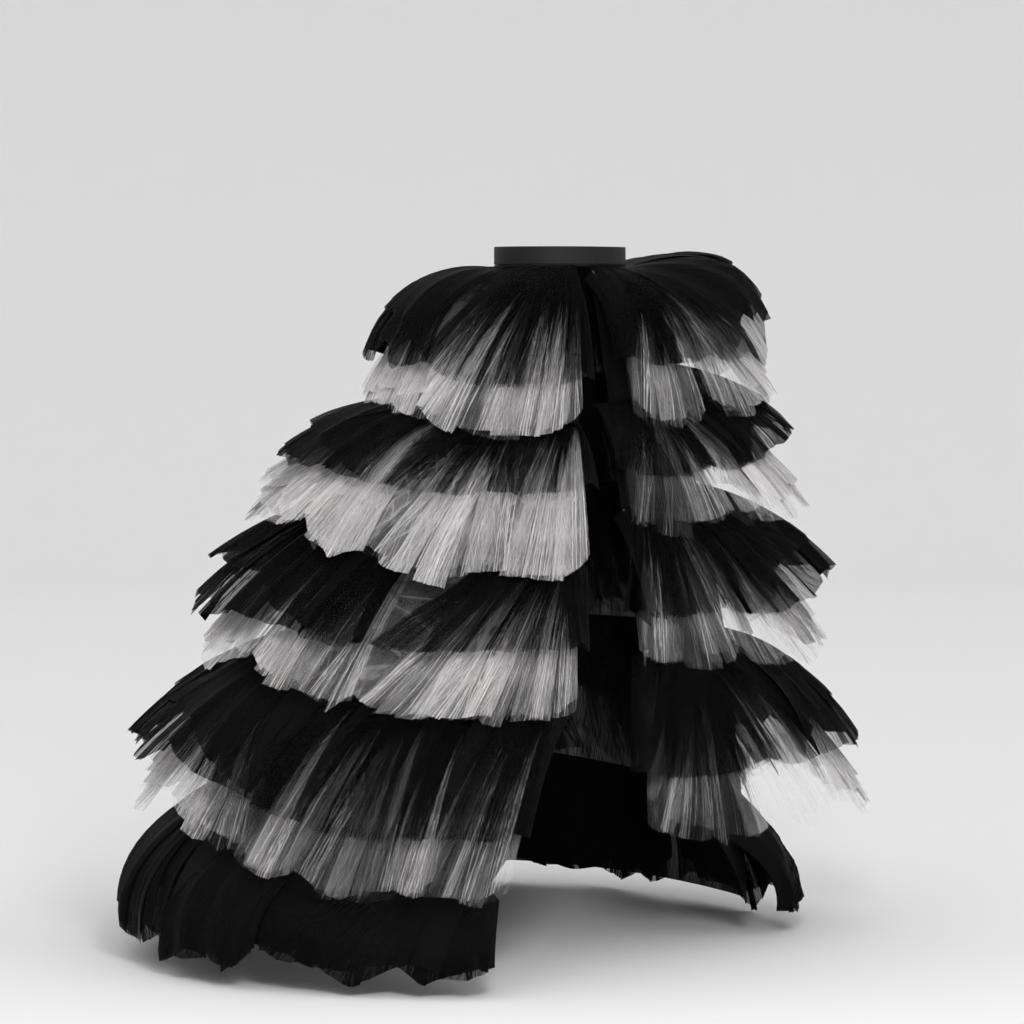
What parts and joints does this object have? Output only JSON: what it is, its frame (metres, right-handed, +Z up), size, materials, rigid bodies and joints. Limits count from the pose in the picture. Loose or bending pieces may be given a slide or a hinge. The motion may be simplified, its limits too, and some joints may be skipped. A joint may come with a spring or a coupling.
{
  "type": "tulle overskirt",
  "caption": "Full-length open-front overskirt of stiff net: tiers of short black frills over longer white frills on a black net foundation, with a waistband closed by a hook and bar.",
  "frame": {"origin": "centre of the waist, on its axis at mid height of the waistband", "axes": "+Z up; the wearer faces -Y, and +X is towards the wearer's left hand"},
  "size_m": [1.2997, 1.2235, 1.1453],
  "materials": {
    "white_net": "crisp sheer nylon net, off-white, matt",
    "black_net": "crisp sheer nylon net, matt",
    "foundation_net": "close black net, matt",
    "waistband": "black ribbed ribbon, satin",
    "steel": "plated, satin"
  },
  "bodies": {
    "root": {"bar": "steel", "foundation_left_back": "foundation_net", "foundation_left_front": "foundation_net", "foundation_right_back": "foundation_net", "foundation_right_front": "foundation_net", "hook": "steel", "tier1_black_left_back": "black_net", "tier1_black_left_front": "black_net", "tier1_black_right_back": "black_net", "tier1_black_right_front": "black_net", "tier1_white_left_back": "white_net", "tier1_white_left_front": "white_net", "tier1_white_right_back": "white_net", "tier1_white_right_front": "white_net", "tier2_black_left_back": "black_net", "tier2_black_left_front": "black_net", "tier2_black_right_back": "black_net", "tier2_black_right_front": "black_net", "tier2_white_left_back": "white_net", "tier2_white_left_front": "white_net", "tier2_white_right_back": "white_net", "tier2_white_right_front": "white_net", "tier3_black_left_back": "black_net", "tier3_black_left_front": "black_net", "tier3_black_right_back": "black_net", "tier3_black_right_front": "black_net", "tier3_white_left_back": "white_net", "tier3_white_left_front": "white_net", "tier3_white_right_back": "white_net", "tier3_white_right_front": "white_net", "tier4_black_left_back": "black_net", "tier4_black_left_front": "black_net", "tier4_black_right_back": "black_net", "tier4_black_right_front": "black_net", "tier4_white_left_back": "white_net", "tier4_white_left_front": "white_net", "tier4_white_right_back": "white_net", "tier4_white_right_front": "white_net", "tier5_black_left_back": "black_net", "tier5_black_left_front": "black_net", "tier5_black_right_back": "black_net", "tier5_black_right_front": "black_net", "waistband": "waistband"}
  },
  "joints": []
}
